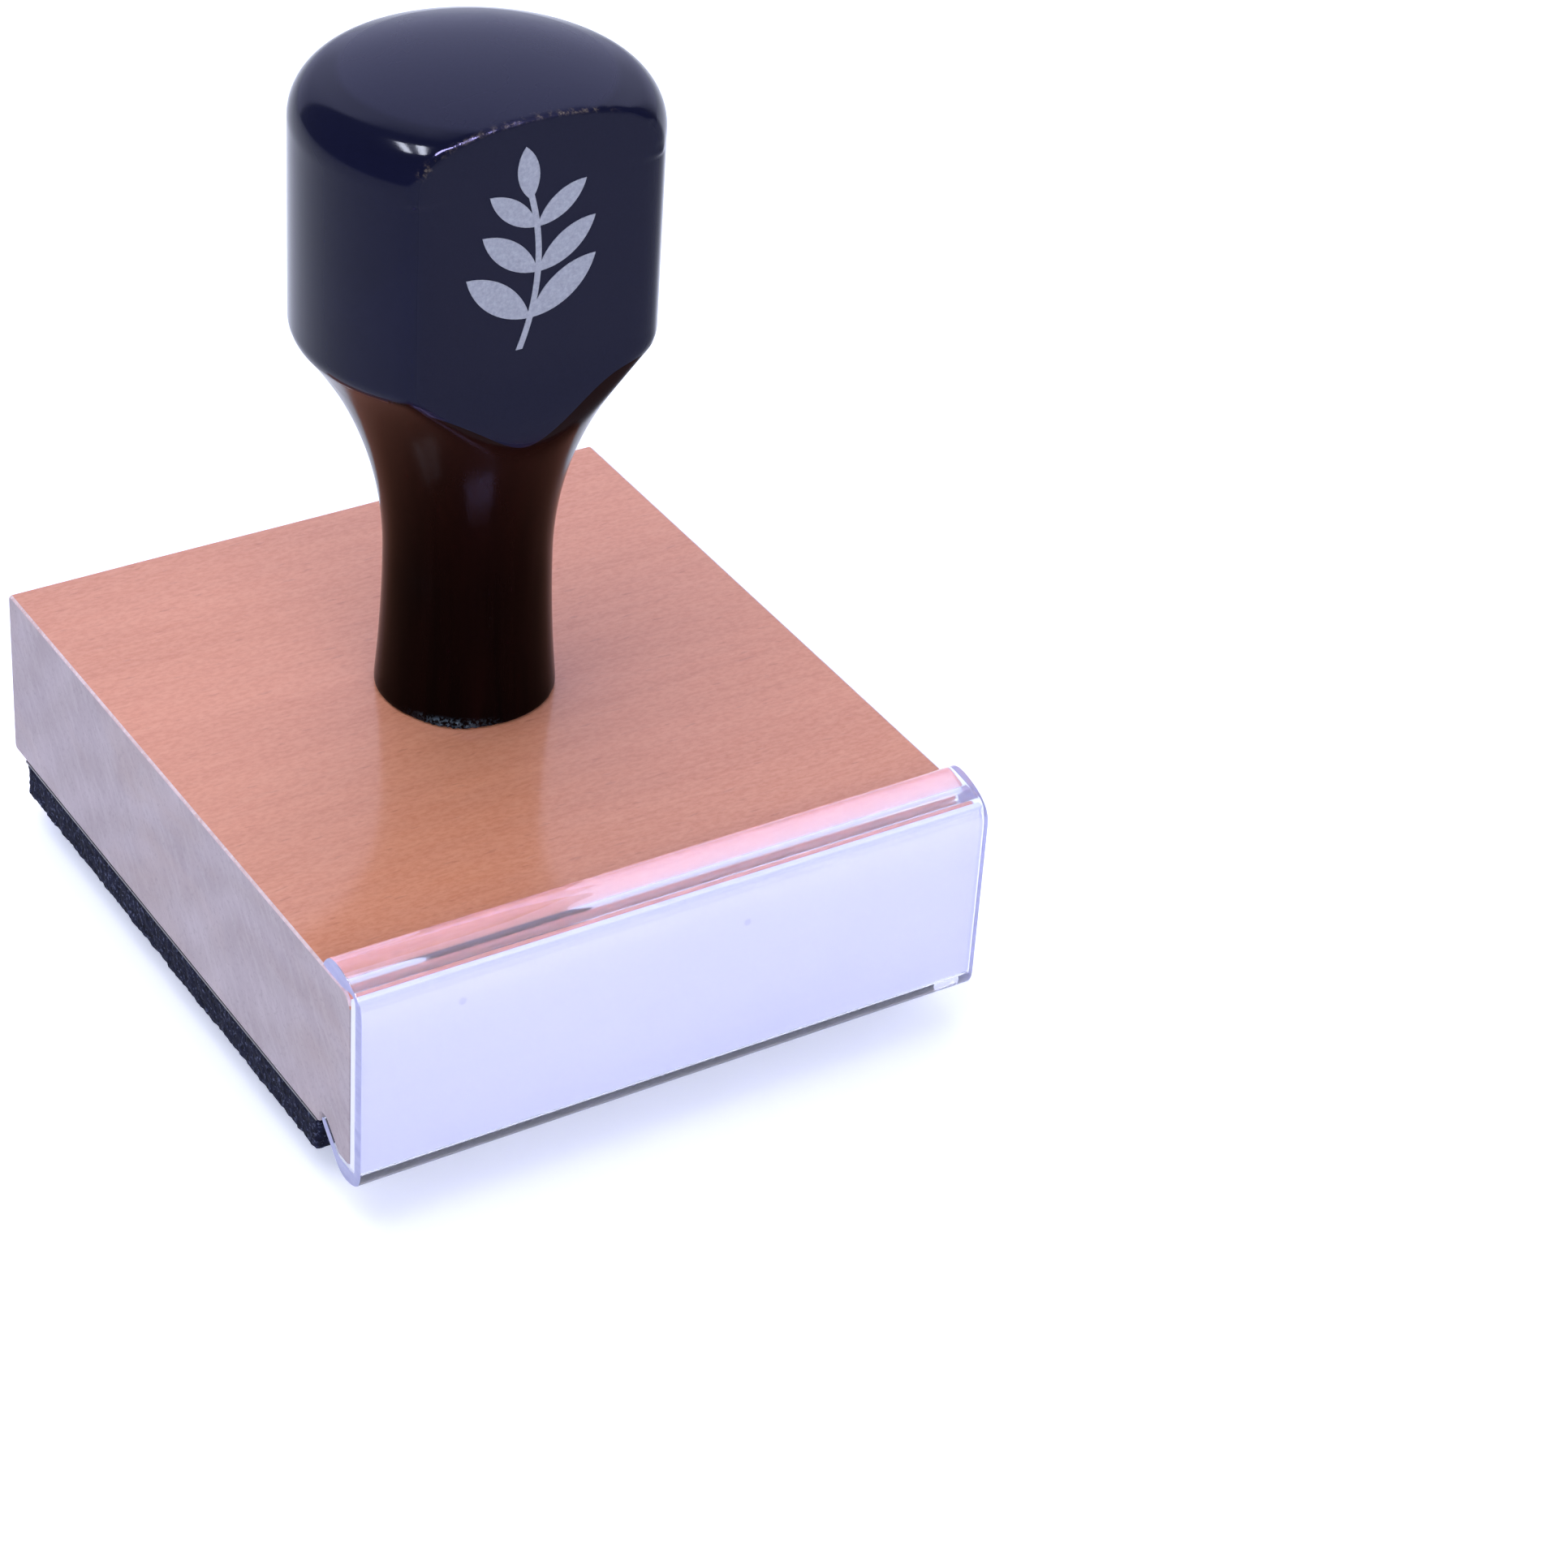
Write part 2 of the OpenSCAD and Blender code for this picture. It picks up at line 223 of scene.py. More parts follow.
class G:
    """Small helper for building node graphs."""
    def __init__(self, nt):
        self.nt = nt

    def n(self, kind, **kw):
        x = self.nt.nodes.new(kind)
        for k, v in kw.items():
            setattr(x, k, v)
        return x

    def link(self, a, b):
        self.nt.links.new(a, b)

    def coords(self):
        tc = self.n("ShaderNodeTexCoord")
        return tc.outputs["Object"]

    def mapping(self, vec, scale, loc=(0, 0, 0), rot=(0, 0, 0)):
        m = self.n("ShaderNodeMapping")
        m.inputs["Scale"].default_value = scale
        m.inputs["Location"].default_value = loc
        m.inputs["Rotation"].default_value = rot
        self.link(vec, m.inputs["Vector"])
        return m.outputs[0]

    def noise(self, vec, scale=1.0, detail=3.0, rough=0.5, dist=0.0, typ="FBM"):
        t = self.n("ShaderNodeTexNoise")
        t.inputs["Scale"].default_value = scale
        t.inputs["Detail"].default_value = detail
        t.inputs["Roughness"].default_value = rough
        t.inputs["Distortion"].default_value = dist
        self.link(vec, t.inputs["Vector"])
        return t.outputs["Fac"] if "Fac" in t.outputs else t.outputs[0]

    def voronoi(self, vec, scale=1.0, feature="F1", out="Distance", rnd=1.0):
        t = self.n("ShaderNodeTexVoronoi", feature=feature)
        t.inputs["Scale"].default_value = scale
        if "Randomness" in t.inputs:
            t.inputs["Randomness"].default_value = rnd
        self.link(vec, t.inputs["Vector"])
        return t.outputs[out]

    def ramp(self, fac, stops, interp="LINEAR"):
        r = self.n("ShaderNodeValToRGB")
        r.color_ramp.interpolation = interp
        els = r.color_ramp.elements
        while len(els) < len(stops):
            els.new(0.5)
        for e, (pos, col) in zip(els, stops):
            e.position = pos
            e.color = (*col, 1) if len(col) == 3 else col
        self.link(fac, r.inputs[0])
        return r.outputs[0]

    def curve01(self, fac, lo, hi, a=0.0, b=1.0):
        m = self.n("ShaderNodeMapRange")
        m.inputs["From Min"].default_value = lo
        m.inputs["From Max"].default_value = hi
        m.inputs["To Min"].default_value = a
        m.inputs["To Max"].default_value = b
        m.clamp = True
        self.link(fac, m.inputs["Value"])
        return m.outputs[0]

    def mix(self, fac, a, b, blend="MIX"):
        m = self.n("ShaderNodeMix", data_type="RGBA", blend_type=blend)
        for sock, val in ((m.inputs[0], fac), (m.inputs[6], a), (m.inputs[7], b)):
            if hasattr(val, "is_output") or isinstance(val, bpy.types.NodeSocket):
                self.link(val, sock)
            elif isinstance(val, (tuple, list)):
                sock.default_value = (*val, 1) if len(val) == 3 else val
            else:
                sock.default_value = val
        return m.outputs[2]

    def math(self, op, a, b=None, c=None, clamp=False):
        m = self.n("ShaderNodeMath", operation=op)
        m.use_clamp = clamp
        for i, val in enumerate((a, b, c)):
            if val is None:
                continue
            if isinstance(val, bpy.types.NodeSocket):
                self.link(val, m.inputs[i])
            else:
                m.inputs[i].default_value = val
        return m.outputs[0]

    def bump(self, height, strength, distance, normal=None):
        b = self.n("ShaderNodeBump")
        b.inputs["Strength"].default_value = strength
        b.inputs["Distance"].default_value = distance
        self.link(height, b.inputs["Height"])
        if normal is not None:
            self.link(normal, b.inputs["Normal"])
        return b.outputs[0]


def setp(bs, **kw):
    names = dict(base="Base Color", rough="Roughness", metal="Metallic", ior="IOR",
                 spec="Specular IOR Level", coat="Coat Weight", coat_rough="Coat Roughness",
                 coat_ior="Coat IOR", trans="Transmission Weight", alpha="Alpha",
                 sheen="Sheen Weight", sheen_rough="Sheen Roughness", sss="Subsurface Weight",
                 sss_scale="Subsurface Scale", sss_radius="Subsurface Radius", coat_tint="Coat Tint",
                 sheen_tint="Sheen Tint")
    for k, v in kw.items():
        bs.inputs[names[k]].default_value = v


def mat_block_wood():
    m, nt, bs = new_mat("lacquered_maple")
    g = G(nt)
    co = g.coords()
    # broad figure, growth lines and fine fibres, all running along X
    broad = g.noise(g.mapping(co, (9, 70, 70)), 1.0, 3, 0.55, 0.4)
    lines = g.noise(g.mapping(co, (26, 520, 520)), 1.0, 4, 0.6, 0.25)
    fibre = g.noise(g.mapping(co, (420, 2600, 2600)), 1.0, 3, 0.6, 0.0)
    cloud = g.noise(g.mapping(co, (160, 260, 260), (3.1, 1.7, 0)), 1.0, 4, 0.6, 0.2)
    pore = g.noise(g.mapping(co, (520, 2300, 2300), (7.7, 2.2, 5.1)), 1.0, 1, 0.4, 0.0)
    dust = g.noise(g.mapping(co, (1500, 3000, 3000), (1.7, 0.2, 3.1)), 1.0, 3, 0.65, 0.0)
    base = g.mix(g.curve01(broad, 0.32, 0.68), (0.690, 0.272, 0.155), (0.625, 0.233, 0.122))
    base = g.mix(g.curve01(lines, 0.40, 0.66, 0.0, 0.42), base, (0.535, 0.186, 0.098))
    base = g.mix(g.curve01(fibre, 0.38, 0.70, 0.0, 0.38), base, (0.735, 0.340, 0.205))
    base = g.mix(g.curve01(cloud, 0.30, 0.72, 0.0, 0.30), base, (0.665, 0.290, 0.180))
    base = g.mix(g.curve01(pore, 0.67, 0.75, 0.0, 0.30), base, (0.330, 0.100, 0.060))
    base = g.mix(g.curve01(dust, 0.40, 0.66, 0.0, 0.26), base, (0.745, 0.355, 0.225))
    base = g.mix(g.curve01(dust, 0.56, 0.36, 0.0, 0.20), base, (0.475, 0.165, 0.088))
    g.link(base, bs.inputs["Base Color"])
    rough = g.curve01(cloud, 0.3, 0.7, 0.42, 0.55)
    g.link(rough, bs.inputs["Roughness"])
    h = g.math("ADD", g.math("MULTIPLY", fibre, 0.5), g.math("MULTIPLY", lines, 0.5))
    g.link(g.bump(h, 0.16, 0.00006), bs.inputs["Normal"])
    wav = g.noise(g.mapping(co, (170, 420, 420)), 1.0, 3, 0.55)
    g.link(g.bump(g.math("ADD", wav, g.math("MULTIPLY", fibre, 0.16)), 0.07, 0.00006), bs.inputs["Coat Normal"])
    setp(bs, spec=0.10, coat=1.0, coat_rough=0.12, coat_ior=1.31)
    return m


def mat_block_end():
    m, nt, bs = new_mat("raw_end_grain")
    g = G(nt)
    co = g.coords()
    # growth rings cut across, pores, and slanting saw marks
    rings = g.n("ShaderNodeTexWave", wave_type="RINGS", rings_direction="X", wave_profile="SIN")
    rings.inputs["Scale"].default_value = 55.0
    rings.inputs["Distortion"].default_value = 5.5
    rings.inputs["Detail"].default_value = 3.0
    rings.inputs["Detail Scale"].default_value = 1.2
    g.link(g.mapping(co, (0.2, 1.0, 1.0), (0, 0.075, 0.10)), rings.inputs["Vector"])
    turned = g.mapping(co, (1, 1, 1), (0, 0, 0), (math.radians(-51), 0, 0))
    saw = g.noise(g.mapping(turned, (300, 330, 1700)), 1.0, 3, 0.6, 0.2)
    cloud = g.noise(g.mapping(co, (120, 120, 120), (1.3, 4.2, 0.6)), 1.0, 4, 0.6, 0.4)
    grit = g.noise(g.mapping(co, (2600, 2600, 2600)), 1.0, 2, 0.6)
    warm = g.noise(g.mapping(co, (55, 55, 90), (5.3, 0.2, 0.9)), 1.0, 3, 0.6, 0.6)
    base = g.mix(g.curve01(cloud, 0.3, 0.7), (0.470, 0.405, 0.440), (0.390, 0.330, 0.365))
    base = g.mix(g.math("MULTIPLY", rings.outputs["Fac"], 0.32), base, (0.350, 0.290, 0.300))
    base = g.mix(g.curve01(saw, 0.45, 0.68, 0.0, 0.22), base, (0.600, 0.550, 0.575))
    base = g.mix(g.curve01(warm, 0.50, 0.72, 0.0, 0.40), base, (0.430, 0.330, 0.310))
    base = g.mix(g.curve01(grit, 0.56, 0.72, 0.0, 0.35), base, (0.290, 0.250, 0.270))
    g.link(base, bs.inputs["Base Color"])
    g.link(g.curve01(grit, 0.3, 0.7, 0.72, 0.90), bs.inputs["Roughness"])
    h = g.math("ADD", g.math("MULTIPLY", saw, 0.8), g.math("MULTIPLY", grit, 0.5))
    g.link(g.bump(h, 0.45, 0.00007), bs.inputs["Normal"])
    setp(bs, spec=0.25)
    return m


def mat_edge_highlight():
    """The fuzzy arris between the lacquered top and the sawn end, coloured lighter than either: a painted highlight
    along the edge.
    """
    m, nt, bs = new_mat("arris_painted_highlight")
    g = G(nt)
    co = g.coords()
    n1 = g.noise(g.mapping(co, (900, 900, 900)), 1.0, 3, 0.6)
    n2 = g.noise(g.mapping(co, (3200, 3200, 3200)), 1.0, 2, 0.6)
    # pale pink tones lighter than the top and the end: painted highlight on the arris
    base = g.mix(g.curve01(n1, 0.35, 0.65), (0.720, 0.560, 0.580), (0.600, 0.420, 0.420))
    base = g.mix(g.curve01(n2, 0.50, 0.70, 0.0, 0.5), base, (0.860, 0.760, 0.800))
    g.link(base, bs.inputs["Base Color"])
    g.link(g.curve01(n2, 0.3, 0.7, 0.60, 0.80), bs.inputs["Roughness"])
    g.link(g.bump(n2, 0.4, 0.00005), bs.inputs["Normal"])
    setp(bs, spec=0.25)
    return m


def mat_stem():
    m, nt, bs = new_mat("stained_hardwood")
    g = G(nt)
    co = g.coords()
    grain = g.noise(g.mapping(co, (620, 620, 34), (0.2, 0.4, 0.1)), 1.0, 4, 0.6, 0.3)
    blot = g.noise(g.mapping(co, (120, 120, 60)), 1.0, 3, 0.55, 0.3)
    base = g.mix(g.curve01(grain, 0.35, 0.70), (0.0014, 0.0004, 0.0004), (0.0062, 0.0013, 0.0009))
    base = g.mix(g.curve01(blot, 0.40, 0.75, 0.0, 0.6), base, (0.0014, 0.0004, 0.0006))
    geo = g.n("ShaderNodeSeparateXYZ")
    g.link(co, geo.inputs[0])
    # lighter and redder towards the flare: a painted reflection of the orange block top in the downward-facing flare
    up = g.curve01(geo.outputs[2], (TOP + 12) * MM, (TOP + 33) * MM)
    base = g.mix(g.math("MULTIPLY", up, 0.75), base, (0.0125, 0.0026, 0.0019))
    # bluish grey flecks on the lacquer bead at the foot: painted glints
    bead_glint = g.n("ShaderNodeAttribute", attribute_name="bead_glint").outputs["Fac"]
    bits = g.noise(g.mapping(co, (3800, 3800, 3800)), 1.0, 2, 0.6)
    base = g.mix(g.math("MULTIPLY", bead_glint, g.curve01(bits, 0.46, 0.58), clamp=True), base, (0.110, 0.150, 0.190))
    g.link(base, bs.inputs["Base Color"])
    g.link(g.curve01(grain, 0.3, 0.7, 0.10, 0.20), bs.inputs["Roughness"])
    peel = g.noise(g.mapping(co, (420, 420, 300)), 1.0, 2, 0.5)
    g.link(g.bump(g.math("ADD", peel, g.math("MULTIPLY", grain, 0.35)), 0.12, 0.00006), bs.inputs["Normal"])
    setp(bs, spec=0.045)
    return m


def mat_coat():
    """Dipped black coat: glossy on the round, satin on the flat, worn along the top of the flat."""
    m, nt, bs = new_mat("dipped_black")
    g = G(nt)
    co = g.coords()
    fa = g.n("ShaderNodeAttribute", attribute_name="flat")
    cr = g.n("ShaderNodeAttribute", attribute_name="crown").outputs["Fac"]
    we = g.n("ShaderNodeAttribute", attribute_name="worn")
    flat, worn = fa.outputs["Fac"], we.outputs["Fac"]
    speck = g.noise(g.mapping(co, (1900, 1900, 1900)), 1.0, 2, 0.6)
    fine = g.noise(g.mapping(co, (5200, 5200, 5200)), 1.0, 2, 0.6)
    blot = g.noise(g.mapping(co, (90, 90, 90), (2.2, 0, 0)), 1.0, 4, 0.6, 0.4)
    base = g.mix(g.curve01(blot, 0.30, 0.70), (0.0042, 0.0049, 0.0190), (0.0056, 0.0065, 0.0240))
    base = g.mix(flat, base, g.mix(g.curve01(fine, 0.35, 0.70), (0.0054, 0.0060, 0.0196), (0.0064, 0.0072, 0.0222)))
    # lighter blue-grey on the crown: a painted sheen of the bright light from above
    top = g.mix(g.curve01(fine, 0.35, 0.70), (0.0120, 0.0128, 0.0370), (0.0136, 0.0145, 0.0400))
    base = g.mix(cr, base, top)
    gate = g.math("MULTIPLY", worn, g.curve01(speck, 0.47, 0.60), clamp=True)
    base = g.mix(gate, base, g.mix(g.curve01(fine, 0.42, 0.60), (0.045, 0.033, 0.028), (0.250, 0.200, 0.150)))
    g.link(base, bs.inputs["Base Color"])
    r = g.math("ADD", g.math("ADD", g.curve01(blot, 0.3, 0.7, 0.09, 0.13), g.math("MULTIPLY", cr, 0.16)), g.math("MULTIPLY", g.math("MAXIMUM", flat, gate), 0.36))
    g.link(r, bs.inputs["Roughness"])
    peel = g.noise(g.mapping(co, (260, 260, 260)), 1.0, 3, 0.5)
    h = g.math("ADD", g.math("MULTIPLY", fine, 0.12), g.math("MULTIPLY", gate, -1.6))
    g.link(g.bump(g.math("ADD", h, g.math("MULTIPLY", peel, 0.9)), 0.10, 0.00009), bs.inputs["Normal"])
    setp(bs, spec=0.11)
    return m


def mat_clear():
    m, nt, bs = new_mat("clear_pvc")
    g = G(nt)
    co = g.coords()
    line = g.noise(g.mapping(co, (6, 700, 700)), 1.0, 2, 0.5)
    scr = g.noise(g.mapping(co, (2200, 160, 160), (0, 0.3, 0.2), (0, 0.5, 0)), 1.0, 3, 0.7)
    g.link(g.curve01(scr, 0.62, 0.80, 0.0, 0.10), bs.inputs["Roughness"])
    geo = g.n("ShaderNodeSeparateXYZ")
    g.link(co, geo.inputs[0])
    # a stronger tint in the lip, above the top plane: painted shade that darkens the wood seen through it
    lip_painted_shade = g.curve01(geo.outputs[2], TOP * MM, (TOP + 0.5) * MM)
    tint = g.mix(g.curve01(line, 0.3, 0.7), (0.960, 0.965, 1.000), (0.938, 0.947, 0.995))
    g.link(g.mix(lip_painted_shade, tint, (0.845, 0.905, 0.945)), bs.inputs["Base Color"])
    g.link(g.bump(line, 0.012, 0.00002), bs.inputs["Normal"])
    setp(bs, trans=0.945, ior=1.49, spec=0.38)
    return m


def mat_clear_end():
    m, nt, bs = new_mat("cut_pvc")
    g = G(nt)
    co = g.coords()
    saw = g.noise(g.mapping(co, (400, 240, 1500), (0, 0, 0), (0.4, 0, 0)), 1.0, 3, 0.6)
    grit = g.noise(g.mapping(co, (2400, 2400, 2400)), 1.0, 2, 0.6)
    g.link(g.mix(g.curve01(saw, 0.3, 0.7), (0.420, 0.430, 0.740), (0.560, 0.570, 0.860)), bs.inputs["Base Color"])
    g.link(g.curve01(grit, 0.3, 0.7, 0.34, 0.52), bs.inputs["Roughness"])
    g.link(g.bump(g.math("ADD", saw, g.math("MULTIPLY", grit, 0.4)), 0.25, 0.00006), bs.inputs["Normal"])
    setp(bs, trans=0.35, ior=1.49)
    return m


def mat_card():
    m, nt, bs = new_mat("white_card")
    g = G(nt)
    co = g.coords()
    fib = g.noise(g.mapping(co, (2600, 2600, 3200)), 1.0, 3, 0.65, 0.4)
    cloud = g.noise(g.mapping(co, (55, 55, 75)), 1.0, 3, 0.5)
    spot = g.voronoi(g.mapping(co, (115, 115, 115), (0.31, 0.1, 0.7)), 1.0)
    base = g.mix(g.curve01(cloud, 0.3, 0.7), (0.845, 0.852, 0.950), (0.820, 0.828, 0.935))
    base = g.mix(g.curve01(fib, 0.40, 0.70, 0.0, 0.35), base, (0.872, 0.878, 0.965))
    base = g.mix(g.curve01(spot, 0.028, 0.050, 0.30, 0.0), base, (0.330, 0.330, 0.420))
    g.link(base, bs.inputs["Base Color"])
    g.link(g.curve01(fib, 0.3, 0.7, 0.62, 0.78), bs.inputs["Roughness"])
    g.link(g.bump(fib, 0.10, 0.00002), bs.inputs["Normal"])
    setp(bs, spec=0.2)
    return m


def mat_foam():
    m, nt, bs = new_mat("black_foam")
    g = G(nt)
    co = g.coords()
    cell = g.voronoi(g.mapping(co, (1500, 1500, 1500)), 1.0)
    grit = g.noise(g.mapping(co, (2600, 2600, 2600)), 1.0, 3, 0.7)
    cloud = g.noise(g.mapping(co, (180, 180, 180)), 1.0, 3, 0.6)
    # dark cell centres, lighter between: painted shade in the open cells
    base = g.mix(g.curve01(cell, 0.10, 0.62), (0.0012, 0.0015, 0.0050), (0.0080, 0.0095, 0.0270))
    # pale bluish flecks: painted glints on the cell rims
    base = g.mix(g.curve01(grit, 0.55, 0.66, 0.0, 0.85), base, (0.1000, 0.1120, 0.1900))
    base = g.mix(g.curve01(cloud, 0.35, 0.70, 0.0, 0.35), base, (0.0080, 0.0090, 0.0190))
    g.link(base, bs.inputs["Base Color"])
    g.link(g.curve01(grit, 0.3, 0.7, 0.78, 0.95), bs.inputs["Roughness"])
    h = g.math("ADD", g.math("MULTIPLY", cell, 1.0), g.math("MULTIPLY", grit, 0.6))
    g.link(g.bump(h, 0.7, 0.00022), bs.inputs["Normal"])
    setp(bs, spec=0.12)
    return m


def mat_rubber():
    m, nt, bs = new_mat("engraved_rubber")
    g = G(nt)
    co = g.coords()
    geo = g.n("ShaderNodeSeparateXYZ")
    g.link(co, geo.inputs[0])
    floor_ = g.curve01(geo.outputs[2], 0.00015, 0.00085)
    scan = g.noise(g.mapping(co, (90, 5200, 900)), 1.0, 2, 0.6)
    grit = g.noise(g.mapping(co, (3200, 3200, 3200)), 1.0, 3, 0.65)
    cloud = g.noise(g.mapping(co, (90, 90, 300)), 1.0, 4, 0.6, 0.3)
    top = g.mix(g.curve01(cloud, 0.3, 0.7), (0.165, 0.060, 0.055), (0.205, 0.078, 0.068))
    low = g.mix(g.curve01(scan, 0.35, 0.68), (0.105, 0.044, 0.042), (0.150, 0.068, 0.062))
    base = g.mix(floor_, top, low)
    base = g.mix(g.curve01(grit, 0.62, 0.80, 0.0, 0.35), base, (0.300, 0.180, 0.165))
    g.link(base, bs.inputs["Base Color"])
    g.link(g.math("ADD", g.curve01(grit, 0.3, 0.7, 0.42, 0.56), g.math("MULTIPLY", floor_, 0.26)), bs.inputs["Roughness"])
    h = g.math("ADD", g.math("MULTIPLY", g.math("MULTIPLY", scan, floor_), 1.4), g.math("MULTIPLY", grit, 0.5))
    g.link(g.bump(h, 0.5, 0.00008), bs.inputs["Normal"])
    setp(bs, spec=0.4)
    return m


def mat_film(name, col, dark):
    m, nt, bs = new_mat(name)
    g = G(nt)
    co = g.coords()
    n1 = g.noise(g.mapping(co, (260, 260, 260)), 1.0, 4, 0.6, 0.5)
    n2 = g.noise(g.mapping(co, (2200, 2200, 2200)), 1.0, 2, 0.6)
    g.link(g.mix(g.curve01(n1, 0.3, 0.7), col, dark), bs.inputs["Base Color"])
    g.link(g.curve01(n2, 0.3, 0.7, 0.25, 0.42), bs.inputs["Roughness"])
    g.link(g.bump(n1, 0.2, 0.00005), bs.inputs["Normal"])
    setp(bs, spec=0.5)
    return m


def mat_print():
    m, nt, bs = new_mat("pale_print")
    g = G(nt)
    co = g.coords()
    n1 = g.noise(g.mapping(co, (2600, 2600, 2600)), 1.0, 3, 0.7)
    n2 = g.noise(g.mapping(co, (300, 300, 300)), 1.0, 3, 0.6)
    base = g.mix(g.curve01(n1, 0.34, 0.70), (0.235, 0.248, 0.300), (0.345, 0.360, 0.420))
    base = g.mix(g.curve01(n2, 0.3, 0.7, 0.0, 0.25), base, (0.280, 0.295, 0.350))
    g.link(base, bs.inputs["Base Color"])
    g.link(g.curve01(n1, 0.3, 0.7, 0.46, 0.62), bs.inputs["Roughness"])
    g.link(g.bump(n1, 0.25, 0.00003), bs.inputs["Normal"])
    setp(bs, spec=0.3)
    return m


def mat_steel():
    m, nt, bs = new_mat("zinc_steel")
    g = G(nt)
    co = g.coords()
    n1 = g.noise(g.mapping(co, (900, 900, 2600)), 1.0, 3, 0.6)
    n2 = g.noise(g.mapping(co, (160, 160, 160)), 1.0, 4, 0.6, 0.5)
    base = g.mix(g.curve01(n2, 0.3, 0.7), (0.560, 0.565, 0.600), (0.640, 0.630, 0.600))
    g.link(base, bs.inputs["Base Color"])
    g.link(g.curve01(n1, 0.3, 0.7, 0.22, 0.42), bs.inputs["Roughness"])
    g.link(g.bump(n1, 0.2, 0.00003), bs.inputs["Normal"])
    setp(bs, metal=1.0)
    return m


M_WOOD, M_END, M_STEM, M_COAT = mat_block_wood(), mat_block_end(), mat_stem(), mat_coat()
M_EDGE_HIGHLIGHT = mat_edge_highlight()
M_CLEAR, M_CUT, M_CARD, M_FOAM = mat_clear(), mat_clear_end(), mat_card(), mat_foam()
M_RUB, M_PRINT, M_STEEL = mat_rubber(), mat_print(), mat_steel()
M_FILM1 = mat_film("block_film", (0.100, 0.100, 0.115), (0.060, 0.060, 0.075))
M_FILM2 = mat_film("die_film_tape", (0.52, 0.49, 0.42), (0.38, 0.36, 0.33))

# ------------------------------------------------------- block and cover
# the moulding's end profile, in mm from the cover's front face and top plane
D = BACK - FRONT
block = np.vstack([
    arc(D - 0.45, -T + 0.45, 0.45, 270, 360, 4),
    arc(D - 0.5, -0.5, 0.5, 0, 90, 6),
    arc(3.2, -1.25, 1.25, 90, 180, 12),
    arc(2.35, -T - 0.35, 0.4, 180, 270, 5),
    [[3.55, -T - 0.75], [3.78, -T - 0.70], [3.95, -T - 0.55],
     [5.72, -T + 1.12], [5.86, -T + 1.24], [6.05, -T + 1.30],
     [6.60, -T + 1.30], [6.82, -T + 1.22], [6.93, -T + 1.05],
     [7.12, -T + 0.15], [7.25, -T]],
])
place = np.array([FRONT, TOP])
blk = sweep_x("block", block + place, HALF, 0.20, 10, [M_WOOD, M_END, M_EDGE_HIGHLIGHT], 0.03, 3,
              raw=lambda y, z: y < FRONT + 7.4 and z < TOP - 1.6)

cov = np.array([
    [6.40, 0.10], [6.38, 0.30], [6.10, 0.75], [5.70, 1.20], [5.25, 1.52],
    [4.70, 1.68], [4.10, 1.70], [3.40, 1.60], [2.70, 1.44], [2.00, 1.22],
    [1.35, 0.92], [0.80, 0.55], [0.38, 0.12], [0.12, -0.38], [0, -1.00],
    [0, -2.5], [0, -T + 1.0],
    [0, -T - 0.40], [0.08, -T - 0.95], [0.35, -T - 1.50],
    [0.80, -T - 1.95], [1.40, -T - 2.25], [2.10, -T - 2.42],
    [2.85, -T - 2.45], [3.55, -T - 2.25], [4.10, -T - 1.85],
    [4.60, -T - 1.35], [6.30, -T + 0.30], [6.58, -T + 0.65],
    [6.58, -T + 0.92], [6.35, -T + 1.08], [6.05, -T + 1.12],
    [5.85, -T + 1.02], [4.00, -T - 0.71], [3.80, -T - 0.86],
    [3.55, -T - 0.92], [1.45, -T - 0.92],
    [1.15, -T - 0.82], [1.05, -T - 0.52], [1.05, -T + 1.0], [1.05, -2.0],
    [1.05, -0.35], [1.12, 0.02], [1.35, 0.28],
    [1.80, 0.38], [2.60, 0.22], [3.20, 0.10], [4.5, 0.10]])
cover = sweep_x("cover", smooth_closed(cov, 2) + place, HALF, 0.05, 6, [M_CLEAR, M_CUT])

# ------------------------------------------------------------------ card
def rounded_slab(name, lo, hi, r, mat, nx=2, seed=5, bow=0.0):
    """A thin slab with softened edges, as a swept loop along X."""
    y0, z0 = lo[1], lo[2]
    y1, z1 = hi[1], hi[2]
    p = np.vstack([arc(y1 - r, z0 + r, r, 270, 360, 3), arc(y1 - r, z1 - r, r, 0, 90, 3),
                   arc(y0 + r, z1 - r, r, 90, 180, 3), arc(y0 + r, z0 + r, r, 180, 270, 3)])
    return sweep_x(name, p, 0.5 * (hi[0] - lo[0]), r * 0.6, nx, [mat, mat])


card = rounded_slab("label_card", l_lo, l_hi, 0.10, M_CARD, 6)

